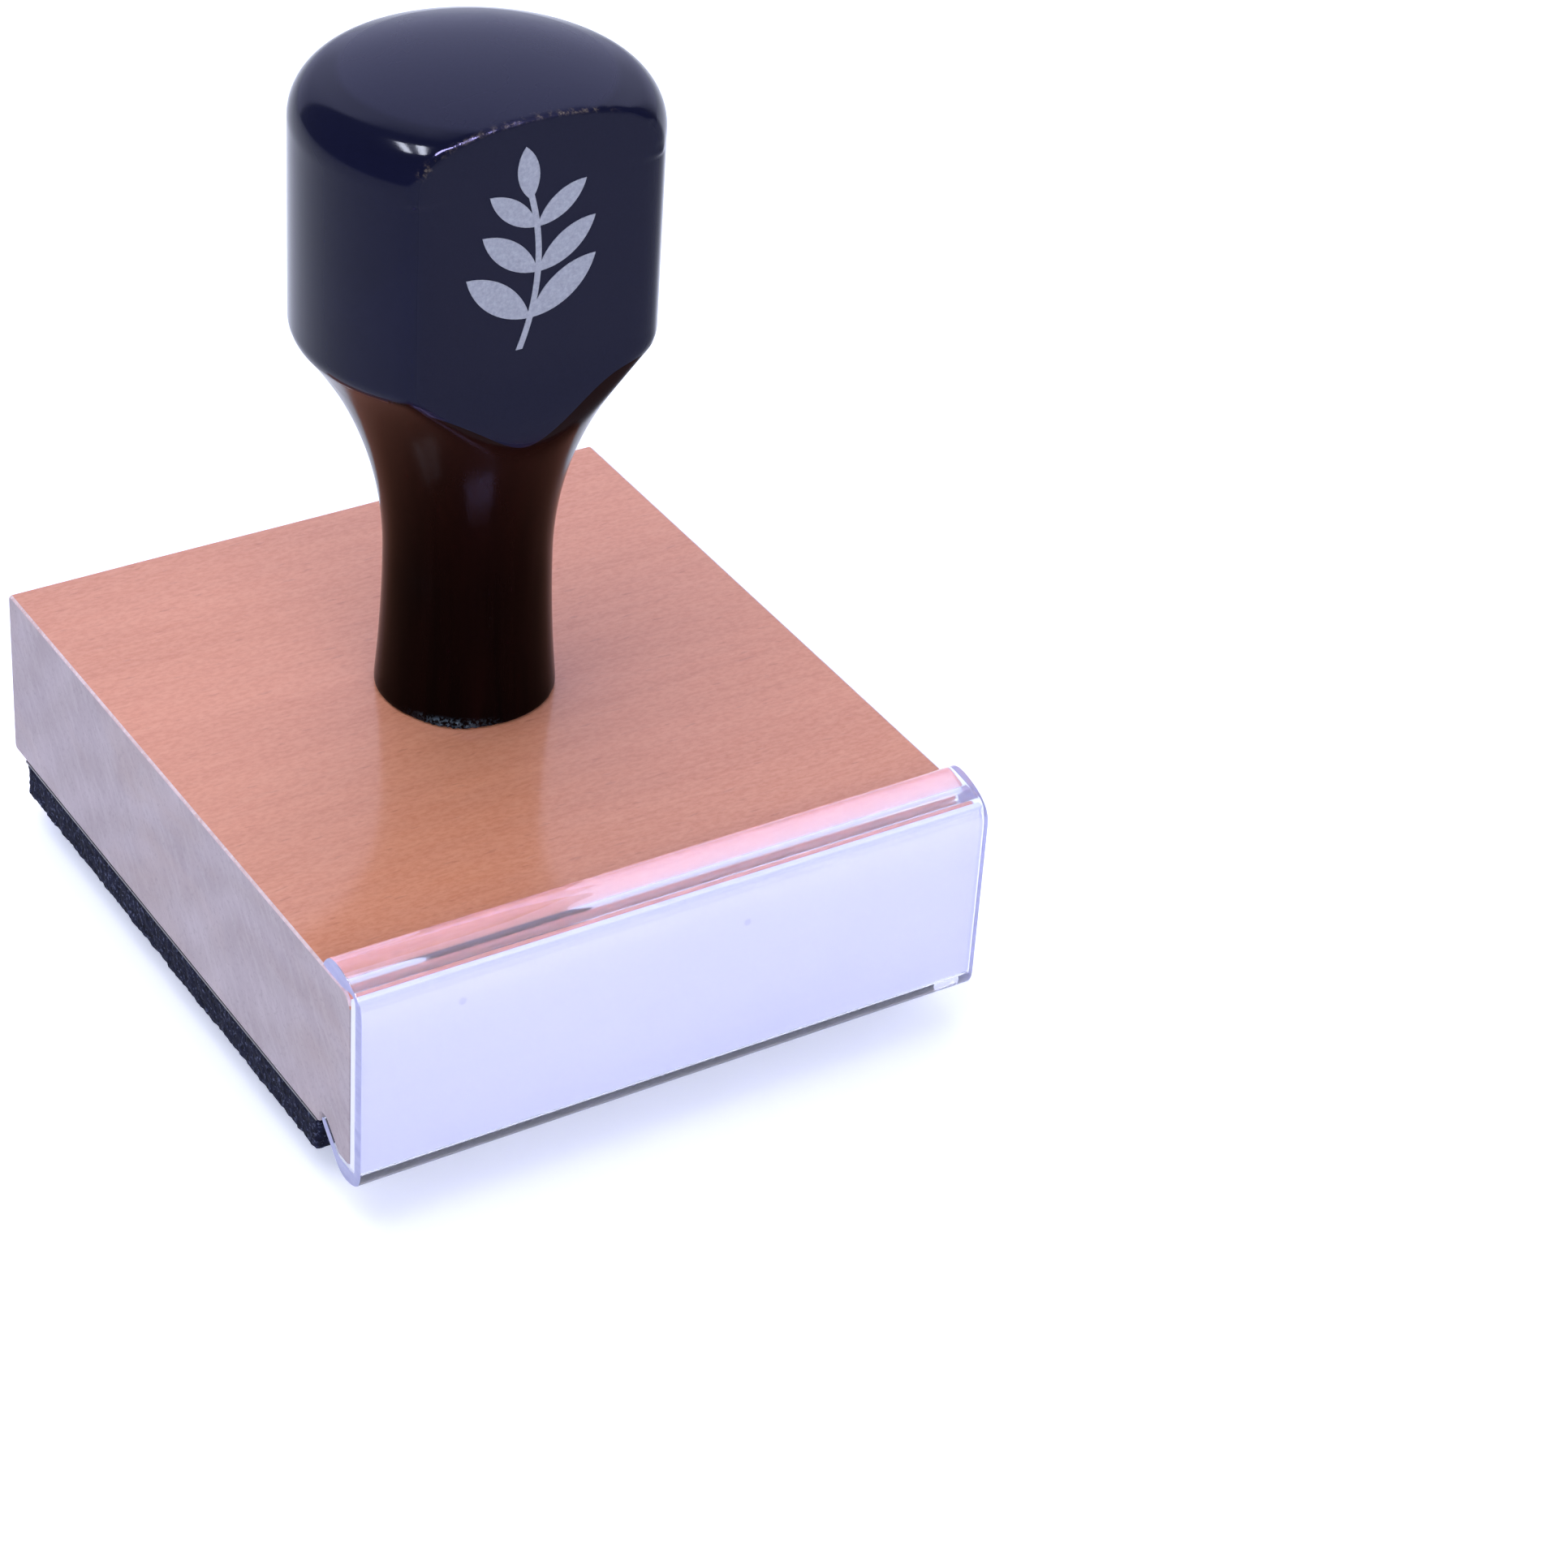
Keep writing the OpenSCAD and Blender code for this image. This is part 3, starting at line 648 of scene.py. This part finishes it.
# --------------------------------------------------------------- cushion
def foam_pad(lo, hi, name="foam_cushion", step=0.34):
    """Cut foam: open cells on the four sawn sides and the underside, edges a little crushed."""
    cx, cy = 0.5 * (lo[0] + hi[0]), 0.5 * (lo[1] + hi[1])
    hx, hy = 0.5 * (hi[0] - lo[0]) - 0.04, 0.5 * (hi[1] - lo[1]) - 0.04
    z0, z1 = lo[2], hi[2]
    rc = 0.35
    # outline loop with slightly soft corners
    pts = []
    for sx, sy, a in ((1, 1, 0), (-1, 1, 90), (-1, -1, 180), (1, -1, 270)):
        pts.append(arc(sx * (hx - rc), sy * (hy - rc), rc, a, a + 90, 3))
    loop = resample_closed(np.vstack(pts), step)
    n = len(loop)
    rows = [(z1, 0.22), (z1 - 0.10, 0.06), (z1 - 0.3, 0.0)]
    rows += [(z, 0.0) for z in np.linspace(z1 - 0.6, z0 + 0.6, 7)]
    rows += [(z0 + 0.3, 0.0), (z0 + 0.10, 0.06), (z0, 0.22)]
    v = []
    for z, d in rows:
        q = inset(loop, d) if d else loop
        # the stack is squeezed a touch at mid height, where foam pulls in
        t = (z - z0) / (z1 - z0)
        pull = 0.05 * math.sin(math.pi * t)
        q = inset(q, pull)
        v.append(np.c_[q[:, 0] + cx, q[:, 1] + cy, np.full(n, z)])
    R = len(rows)
    v = np.vstack(v)
    # open cells: pits along the sawn sides
    w = hash_noise(v * 2.1, 21, 3, 0.65)
    w2 = hash_noise(v * 0.55, 22, 2)
    nrm = np.c_[v[:, 0] - cx, v[:, 1] - cy]
    side = np.where(np.abs(nrm[:, 0]) / hx > np.abs(nrm[:, 1]) / hy, 0, 1)
    push = np.clip(0.20 * w + 0.07 * w2, -0.22, 0.09)
    edge = np.repeat([0.2 if i in (0, R - 1) else 1.0 for i in range(R)], n)
    push = push * edge
    v[side == 0, 0] += (np.sign(nrm[:, 0]) * push)[side == 0]
    v[side == 1, 1] += (np.sign(nrm[:, 1]) * push)[side == 1]
    f = grid_faces(R, n, True)
    # underside: inner rings towards the middle, pitted; the top is glued flat
    verts, faces = [v], f
    base = len(v)
    last = list(range((R - 1) * n, R * n))
    ring0 = v[(R - 1) * n:]
    scale = [0.985, 0.96, 0.93, 0.89, 0.84, 0.78]
    prev = last
    for s in scale:
        q = ring0.copy()
        q[:, 0] = cx + (q[:, 0] - cx) * s
        q[:, 1] = cy + (q[:, 1] - cy) * s
        q[:, 2] = z0 + np.abs(hash_noise(q * 1.7, 31, 3, 0.6)) * 0.10 + 0.01
        verts.append(q)
        cur = list(range(base, base + n))
        for j in range(n):
            faces.append((prev[j], prev[(j + 1) % n], cur[(j + 1) % n], cur[j]))
        prev = cur
        base += n
    faces.append(tuple(prev))
    faces.append(tuple(reversed(range(n))))
    faces = [tuple(reversed(q)) for q in faces]
    o = obj_from(name, np.vstack(verts), faces, True, 50, [M_FOAM])
    return o


pad = foam_pad(p_lo, p_hi)

# ---------------------------------------------------------------- handle
WR, WH, FR, FLR, DIP = 7.0, 13.0, 7.65, 33.0, 33.2
DOME, EDGE, UNDER = 32.0, 4.0, 2.0
und_c = (KR - UNDER, WH + math.sqrt((FLR + UNDER) ** 2 - (WR + FLR - (KR - UNDER)) ** 2))
und_a = math.atan2(WH - und_c[1], WR + FLR - und_c[0])
edg_c = (KR - EDGE, HH - DOME + math.sqrt((DOME - EDGE) ** 2 - (KR - EDGE) ** 2))
edg_a = math.atan2(edg_c[1] - (HH - DOME), edg_c[0])
flare_top = und_c[1] + UNDER * math.sin(und_a)


def profile():
    """(r, h) of the handle's outside from the foot to the crown, in fine steps."""
    p = [[FR - 0.42, 0.05], [FR - 0.20, 0.08], [FR - 0.10, 0.15]]
    for h in np.linspace(0.25, 1.6, 12):
        p.append([WR + (FR - 0.05 * math.exp(-(h - 0.2) / 0.15) - WR) * (1 - h / WH) ** 2, h])
    for h in np.linspace(1.9, WH, 36):
        p.append([WR + (FR - WR) * (1 - h / WH) ** 2, h])
    for h in np.linspace(WH + 0.3, flare_top, 90):
        p.append([WR + FLR - math.sqrt(FLR * FLR - (h - WH) ** 2), h])
    for a in np.linspace(und_a, 0, 10)[1:]:
        p.append([und_c[0] + UNDER * math.cos(a), und_c[1] + UNDER * math.sin(a)])
    for h in np.linspace(und_c[1], edg_c[1], 44)[1:-1]:
        p.append([KR, h])
    for a in np.linspace(0, edg_a, 22):
        p.append([edg_c[0] + EDGE * math.cos(a), edg_c[1] + EDGE * math.sin(a)])
    for a in np.linspace(edg_a, math.pi / 2, 46)[1:]:
        p.append([DOME * math.cos(a), HH - DOME + DOME * math.sin(a)])
    return np.array(p)


PROF = profile()
S_ = np.r_[0, np.cumsum(np.linalg.norm(np.diff(PROF, axis=0), axis=1))]


def prof_at(s):
    return np.interp(s, S_, PROF[:, 0]), np.interp(s, S_, PROF[:, 1])


def s_of_h(h):
    k = int(np.argmax(PROF[:, 1] >= h))
    return float(np.interp(h, PROF[k - 1:k + 1, 1], S_[k - 1:k + 1]))


def smin(a, b, k):
    m = np.minimum(a, b)
    return m - k * np.log(np.exp(-(a - m) / k) + np.exp(-(b - m) / k))


NA = 288
TH = np.linspace(-math.pi, math.pi, NA, endpoint=False)     # 0 is the front, -Y
COS = np.cos(TH)


def plane_r(d):
    return np.where(COS > 0.05, d / np.maximum(COS, 0.05), 1e3)


def to_xyz(rho, h, th):
    return np.stack([AX + rho * np.sin(th), AY - rho * np.cos(th), TOP + h], -1)


# where the coat ends: the dip line, and down the flat to its tip on the neck
EDGE_T = [-1.6, -1.214, -0.956, -0.893, -0.783, -0.696, -0.600, -0.452, -0.284, -0.200, -0.114, -0.040, 0.031, 0.161, 0.265, 0.400, 0.520, 0.620, 0.740, 0.860, 1.10, 1.6]
EDGE_H = [33.65, 33.75, 33.70, 33.60, 33.05, 32.42, 31.60, 30.30, 28.96, 28.40, 28.03, 27.95, 28.14, 28.90, 29.75, 31.00, 32.05, 32.80, 33.35, 33.60, 33.70, 33.65]


def coat_edge():
    h = np.interp(TH, EDGE_T, EDGE_H, left=EDGE_H[0], right=EDGE_H[-1])
    k = np.hanning(15)
    k /= k.sum()
    h = np.convolve(np.r_[h[-7:], h, h[:7]], k, "valid")
    return h + 0.07 * np.sin(3 * TH + 0.6) + 0.035 * np.sin(11 * TH)


def flat_d(h, d):
    """The flat eases outward where it runs down on to the neck."""
    t = np.clip((35.6 - h) / 7.6, 0, 1)
    return d + 0.60 * t * t * (3 - 2 * t)


HE = coat_edge()
SE = np.array([s_of_h(h) for h in HE])
S_END = S_[-1]


def rough_edge(p, th):
    """Small nicks along the top of the flat, where the edge is knocked."""
    q = np.c_[p[..., 0].ravel(), p[..., 1].ravel(), p[..., 2].ravel()]
    return hash_noise(q * 1.3, 41, 3, 0.6).reshape(p.shape[:-1])


def coat_grid(nv=132, d=FD, back=0.0):
    g = np.linspace(0, 1, nv)
    g = 0.92 * g + 0.08 * g * g * (3 - 2 * g)
    s = SE[None, :] + (S_END - SE)[None, :] * g[:, None]
    r, h = prof_at(s)
    pr = np.where(COS[None, :] > 0.05, flat_d(h, d) / np.maximum(COS[None, :], 0.05), 1e3)
    k = np.where(h > HH - 7, 0.12, 0.50)
    rho = smin(r, np.broadcast_to(pr, r.shape), k)
    return s, r, h, rho, pr


s_c, r_c, h_c, rho_c, pr_c = coat_grid()
nvc = rho_c.shape[0]
# thickness grows from the edge of the dip
run = (s_c - SE[None, :])
thick = 0.03 + 0.20 * (1 - np.exp(-run / 0.35))
rho_out = np.maximum(rho_c, 0.0)
rho_in = np.maximum(rho_out - thick, 0.0)
h_in = h_c - np.where(r_c < KR - 0.6, 1.0, 0.3) * thick * (h_c > HH - 6)
# knocked top edge of the flat
on_edge = np.exp(-((r_c - np.broadcast_to(pr_c, r_c.shape)) / 0.30) ** 2) * (h_c > HH - 6.5)
outer = to_xyz(rho_out, h_c, TH[None, :])
nick = rough_edge(outer, TH)
shift = on_edge * np.clip(-0.10 + 0.16 * nick, -0.22, 0.02)
rho_out = rho_out + shift
outer = to_xyz(rho_out, h_c, TH[None, :])
inner = to_xyz(rho_in, h_in, TH[None, :])
# poles are single points
vo = outer[:-1].reshape(-1, 3)
vi = inner[:-1].reshape(-1, 3)
po, pi_ = outer[-1].mean(0), inner[-1].mean(0)
no = len(vo)
verts = np.vstack([vo, vi, po[None], pi_[None]])
faces = grid_faces(nvc - 1, NA, True, 0)
faces += grid_faces(nvc - 1, NA, True, no, flip=True)
for j in range(NA):
    j2 = (j + 1) % NA
    faces.append((j2, j, no + j, no + j2))
    a = (nvc - 2) * NA
    faces.append((a + j, a + j2, 2 * no))
    faces.append((no + a + j2, no + a + j, 2 * no + 1))
knob = obj_from("knob_dip", verts, faces, True, 60, [M_COAT])
flat = 1 / (1 + np.exp(np.clip(-(r_c - np.broadcast_to(pr_c, r_c.shape) - 0.25) / 0.16, -60, 60)))
worn = np.exp(-((r_c - np.broadcast_to(pr_c, r_c.shape) + 0.02) / 0.34) ** 2) * np.clip((h_c - (HH - 6.5)) / 2.0, 0, 1)
worn = worn * np.clip((h_c - (HH - 4.8)) / 0.6, 0, 1) * np.clip((0.62 - TH[None, :]) / 0.45, 0, 1)
worn = worn * np.clip(0.75 + 0.9 * hash_noise(outer.reshape(-1, 3) * 0.35, 44, 2).reshape(r_c.shape), 0, 1)
# crown mask: a painted sheen on the top of the knob, and a higher roughness there
crown = np.clip((KR - 3.6 - r_c) / 0.5, 0, 1) * (h_c > HH - 8) * (1 - flat)
zero = np.zeros(no)
attr(knob, "flat", np.r_[flat[:-1].ravel(), zero, 0, 0])
attr(knob, "crown", np.r_[crown[:-1].ravel(), zero, 1, 0])
attr(knob, "worn", np.r_[worn[:-1].ravel(), zero, 0, 0])


def turned_handle():
    """The wooden handle: foot, stem, flare and the core of the knob, with its blind bore."""
    s0 = s_of_h(WH)
    rows_s = np.concatenate([S_[:30], np.linspace(S_[30], s_of_h(DIP + 1.6), 120), np.linspace(s_of_h(DIP + 2.0), S_END, 60)])
    r, h = prof_at(rows_s)
    cut = 0.25 * np.clip((h - DIP - 0.9) / 0.5, 0, 1)
    rr = np.maximum(r - cut, 0.0)
    hh = h - np.where(r < KR - 0.6, 1.0, 0.2) * 0.25 * (h > HH - 6)
    pr = np.where(COS[None, :] > 0.05, flat_d(hh, FD - 0.25)[:, None] / np.maximum(COS[None, :], 0.05), 1e3)
    rho = smin(np.broadcast_to(rr[:, None], (len(rr), NA)), pr, 0.30)
    rho = np.maximum(rho, 0.0)
    H = np.broadcast_to(hh[:, None], rho.shape).copy()
    # foot: the lacquer has run a little and dried in a bead, thickest at the front
    p = to_xyz(rho, H, TH[None, :])
    w = hash_noise(p.reshape(-1, 3) * 0.9, 51, 3).reshape(rho.shape)
    w3 = hash_noise(p.reshape(-1, 3) * 3.3, 52, 3, 0.6).reshape(rho.shape)
    low = np.exp(-H / 0.55)
    front = np.exp(-((TH + 0.64) / 0.30) ** 2)[None, :]
    bead = front * np.clip((1.0 - H) / 0.35, 0, 1)
    rho = rho + (low * (0.05 * w + 0.26 * front * (0.7 + 0.6 * w)) + bead * (0.16 + 0.34 * w3)) * (H < 3)
    outer = to_xyz(rho, H, TH[None, :])
    # inside: foot plate and bore
    bore_r, bore_h = 3.05, 19.6
    ins_rows = [(FR - 0.9, 0.05), (bore_r + 0.5, 0.05), (bore_r + 0.12, 0.06), (bore_r, 0.30), (bore_r, 6.0), (bore_r, 12.0), (bore_r, bore_h - 0.2), (bore_r - 0.4, bore_h)]
    ins = [to_xyz(np.full(NA, a), np.full(NA, b), TH) for a, b in ins_rows]
    rows = [np.array(q) for q in reversed(ins)] + [outer[i] for i in range(len(rows_s) - 1)]
    v = np.vstack(rows)
    R = len(rows)
    f = grid_faces(R, NA, True)
    top, bot = outer[-1].mean(0), np.array([AX, AY, TOP + bore_h])
    v = np.vstack([v, top[None], bot[None]])
    for j in range(NA):
        j2 = (j + 1) % NA
        a = (R - 1) * NA
        f.append((a + j, a + j2, len(v) - 2))
        f.append((j2, j, len(v) - 1))
    o = obj_from("turned_handle", v, f, True, 50, [M_STEM])
    # mask of the painted glints on the foot bead, in noisy flecks
    bead_glint = np.clip(bead * (0.55 + 1.3 * w3), 0, 1)[:len(rows_s) - 1].ravel()
    attr(o, "bead_glint", np.r_[np.zeros(len(ins_rows) * NA), bead_glint, 0, 0])
    return o


stem = turned_handle()


# ----------------------------------------------------------------- screw
def dowel_screw():
    lo, hi = nbox("handle_screw")
    z0, z1 = float(lo[2]), float(hi[2])
    R0 = 0.5 * float(hi[0] - lo[0])
    pitch, n = 2.5, 56
    zs = np.arange(z0, z1 + 0.01, 0.11)
    zs[-1] = z1
    th = np.linspace(0, 2 * math.pi, n, endpoint=False)
    Z, A = np.meshgrid(zs, th, indexing="ij")
    ph = (Z / pitch - A / (2 * math.pi)) % 1.0
    tooth = np.clip(1 - np.abs(ph - 0.5) / 0.42, 0, 1) ** 1.3
    shank = np.clip((Z - (TOP - 1.0)) / 0.3, 0, 1) * np.clip((TOP + 0.9 - Z) / 0.3, 0, 1)
    r = (R0 - 0.72) + 0.70 * tooth
    r = r * (1 - shank) + (R0 - 0.25) * shank
    end = np.minimum(np.clip((Z - z0) / 2.4, 0, 1), np.clip((z1 - Z) / 2.0, 0, 1))
    r = np.maximum(r * (0.16 + 0.84 * end ** 0.75), 0.35)
    v = np.stack([AX + r * np.cos(A), AY + r * np.sin(A), Z], -1).reshape(-1, 3)
    R = len(zs)
    f = grid_faces(R, n, True)
    v = np.vstack([v, [[AX, AY, z0]], [[AX, AY, z1]]])
    for j in range(n):
        j2 = (j + 1) % n
        f.append((j2, j, len(v) - 2))
        f.append(((R - 1) * n + j, (R - 1) * n + j2, len(v) - 1))
    return obj_from("dowel_screw", v, f, True, 45, [M_STEEL])


screw = dowel_screw()

# --------------------------------------------- recalculated outward normals
import bmesh
for o in (blk, cover, card, pad, knob, stem, screw):
    bm = bmesh.new()
    bm.from_mesh(o.data)
    bmesh.ops.recalc_face_normals(bm, faces=bm.faces)
    bm.to_mesh(o.data)
    bm.free()
    o.data.update()

# pilot bore in the block, cut as a real hole
hole_lo, hole_hi = nbox("handle_screw")
cut_me = bpy.data.meshes.new("bore_tool")
bm = bmesh.new()
bmesh.ops.create_cone(bm, cap_ends=True, segments=64, radius1=3.05 * MM, radius2=3.05 * MM, depth=14.6 * MM,
                      matrix=Matrix.Translation(Vector((AX * MM, AY * MM, (TOP - 10.6 + 7.3) * MM))))
bm.to_mesh(cut_me)
bm.free()
cut = bpy.data.objects.new("bore_tool", cut_me)
bpy.context.scene.collection.objects.link(cut)
mod = blk.modifiers.new("bore", "BOOLEAN")
mod.operation = "DIFFERENCE"
mod.solver = "EXACT"
mod.object = cut
bpy.context.view_layer.update()
dg = bpy.context.evaluated_depsgraph_get()
res = bpy.data.meshes.new_from_object(blk.evaluated_get(dg))
old = blk.data
blk.modifiers.clear()
blk.data = res
blk.data.name = "block"
bpy.data.objects.remove(cut)
blk.data.set_sharp_from_angle(angle=math.radians(32))

# ----------------------------------------------------------- ride on bodies
for o, body, node, slot in (
        (blk, "mount", "mount_block", "block_wood"),
        (pad, "mount", "cushion", "foam"),
        (cover, "cover", "index_cover", "clear_plastic"),
        (card, "label", "index_label", "card"),
        (stem, "grip", "handle", "stem_wood"),
        (knob, "grip", "knob_coat", "knob_black"),
        (screw, "screw", "handle_screw", "screw_steel")):
    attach(o, body)
    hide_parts(node)

for n, mat in (("mount_film", M_FILM1), ("die_film", M_FILM2), ("rubber_die", M_RUB), ("facet_mark", M_PRINT)):
    o = NODES[n]
    o.data.materials.clear()
    o.data.materials.append(mat)

# ----------------------------------------------------------------- stage
def floor():
    me = bpy.data.meshes.new("floor")
    s = 3.0
    me.from_pydata([(-s, -s, 0), (s, -s, 0), (s, s, 0), (-s, s, 0)], [], [(0, 1, 2, 3)])
    o = bpy.data.objects.new("floor", me)
    bpy.context.scene.collection.objects.link(o)
    m, nt, bs = new_mat("floor_paper")
    g = G(nt)
    n1 = g.noise(g.mapping(g.coords(), (9, 9, 9)), 1.0, 3, 0.5)
    g.link(g.mix(n1, (0.84, 0.84, 0.84), (0.86, 0.86, 0.86)), bs.inputs["Base Color"])
    setp(bs, rough=0.8, spec=0.1)
    bs.inputs["Emission Color"].default_value = (0.72, 0.78, 1.0, 1)
    bs.inputs["Emission Strength"].default_value = 0.52
    me.materials.append(m)
    return o


floor()


def backdrop():
    """A pale shell far outside, seen directly but not mirrored."""
    me = bpy.data.meshes.new("backdrop")
    bm = bmesh.new()
    bmesh.ops.create_icosphere(bm, subdivisions=4, radius=6.0)
    bm.to_mesh(me)
    bm.free()
    o = bpy.data.objects.new("backdrop", me)
    bpy.context.scene.collection.objects.link(o)
    m, nt, bs = new_mat("backdrop_paper")
    g = G(nt)
    n1 = g.noise(g.mapping(g.coords(), (1.5, 1.5, 1.5)), 1.0, 2, 0.5)
    g.link(g.mix(n1, (0.97, 0.98, 1.0), (1.0, 1.0, 1.0)), bs.inputs["Emission Color"])
    bs.inputs["Emission Strength"].default_value = 1.05
    setp(bs, base=(0.0, 0.0, 0.0, 1), rough=1.0, spec=0.0)
    me.materials.append(m)
    o.visible_diffuse = False
    o.visible_glossy = False
    o.visible_transmission = False
    o.visible_shadow = False
    return o


backdrop()

sc = bpy.context.scene
sc.view_settings.view_transform = "Standard"
sc.view_settings.look = "None"
sc.view_settings.exposure = 0.0
sc.view_settings.gamma = 1.0

w = bpy.data.worlds.new("studio")
sc.world = w
w.use_nodes = True
nt = w.node_tree
nt.nodes.clear()
g = G(nt)
wo = g.n("ShaderNodeOutputWorld")
bg = g.n("ShaderNodeBackground")
g.link(bg.outputs[0], wo.inputs[0])
tc = g.n("ShaderNodeTexCoord")


def lobe(direction, lo, hi):
    """1 inside a soft cone about a direction, 0 outside it."""
    d = Vector(direction).normalized()
    v = g.n("ShaderNodeVectorMath", operation="DOT_PRODUCT")
    g.link(tc.outputs["Generated"], v.inputs[0])
    v.inputs[1].default_value = d
    m = g.n("ShaderNodeMapRange", interpolation_type="SMOOTHSTEP")
    m.inputs["From Min"].default_value = math.cos(math.radians(lo))
    m.inputs["From Max"].default_value = math.cos(math.radians(hi))
    g.link(v.outputs["Value"], m.inputs["Value"])
    return m.outputs[0]


# a dim room with one bright wall, from straight behind round to the right
wall = g.math("MULTIPLY", lobe((0.924, 0.335, -0.184), 92, 87), lobe((-0.375, 0.927, 0.0), 96, 84))
wall = g.math("MULTIPLY", wall, g.math("SUBTRACT", 1.0, lobe((0.0, 0.0, 1.0), 27, 20)))
rise = g.n("ShaderNodeSeparateXYZ")
g.link(tc.outputs["Generated"], rise.inputs[0])
wall_l = g.math("MULTIPLY", wall, g.curve01(rise.outputs[2], 0.26, 0.90, 0.82, 2.05))
level = g.math("ADD", 0.19, wall_l)
tint = g.mix(wall, (0.88, 0.92, 1.16), (0.84, 0.87, 1.26))
g.link(tint, bg.inputs[0])
g.link(level, bg.inputs[1])


def area(name, loc, target, size, power, color=(1, 1, 1), size_y=None):
    l = bpy.data.lights.new(name, "AREA")
    l.shape = "RECTANGLE"
    l.size = size
    l.size_y = size_y or size
    l.energy = power
    l.color = color
    o = bpy.data.objects.new(name, l)
    sc.collection.objects.link(o)
    o.location = loc
    d = Vector(target) - Vector(loc)
    o.rotation_euler = d.to_track_quat("-Z", "Y").to_euler()
    return o


def soft(o):
    """A large soft light that fills and is not itself mirrored."""
    o.visible_glossy = False
    return o


def mirrored(o):
    """A small bright pane that only shows as a highlight."""
    o.visible_diffuse = False
    return o


def strip(name, loc, target, along, width, length, power, color):
    """A light panel turned so that its length lies along a given direction."""
    o = area(name, loc, target, width, power, color, length)
    z = (Vector(loc) - Vector(target)).normalized()
    y = Vector(along)
    y = (y - y.dot(z) * z).normalized()
    x = y.cross(z)
    o.rotation_euler = Matrix((x, y, z)).transposed().to_euler()
    return o


soft(area("soft_top", (-0.20, 0.12, 0.82), (0, 0, 0.02), 0.80, 5.0, (0.92, 0.95, 1.0)))
soft(area("soft_front", (-0.10, -0.95, 0.42), (0, 0, 0.02), 0.70, 4.8, (0.90, 0.93, 1.0), 0.45))
soft(area("soft_left", (-0.92, -0.20, 0.40), (0, 0, 0.02), 0.60, 1.4, (0.88, 0.92, 1.0), 0.45))
for i, k in enumerate((-0.045, 0.045)):
    mirrored(strip(f"pane_{i}", (-0.241 + 0.72 * k, 0.115 - 0.69 * k, 0.728), (-0.010 + 0.72 * k, -0.004 - 0.69 * k, 0.077),
                   (0.69, 0.72, 0.0), 0.036, 0.24, 2.2, (0.80, 0.84, 1.0)))
mirrored(area("pane_front", (-0.052, -0.284, 0.645), (0, 0, 0.022), 0.22, 19.0, (0.50, 0.46, 1.0), 0.17))

# ---------------------------------------------------------------- camera
az, el, roll = math.radians(-34.22165), math.radians(34.64971), 0.07330707
back = Vector((math.sin(az) * math.cos(el), -math.cos(az) * math.cos(el), math.sin(el)))
fwd = -back
right = fwd.cross(Vector((0, 0, 1))).normalized()
up = right.cross(fwd)
r2 = math.cos(roll) * right + math.sin(roll) * up
u2 = -math.sin(roll) * right + math.cos(roll) * up
cam_d = bpy.data.cameras.new("camera")
cam = bpy.data.objects.new("camera", cam_d)
sc.collection.objects.link(cam)
pos = Vector((-151.406, -267.492, 227.188)) * MM
cam.matrix_world = Matrix(((r2.x, u2.x, back.x, pos.x), (r2.y, u2.y, back.y, pos.y),
                           (r2.z, u2.z, back.z, pos.z), (0, 0, 0, 1)))
cam_d.sensor_width = 36.0
cam_d.sensor_fit = "HORIZONTAL"
cam_d.lens = 5449.97 / 1932 * 36.0
cam_d.clip_start = 0.01
cam_d.clip_end = 20
sc.camera = cam
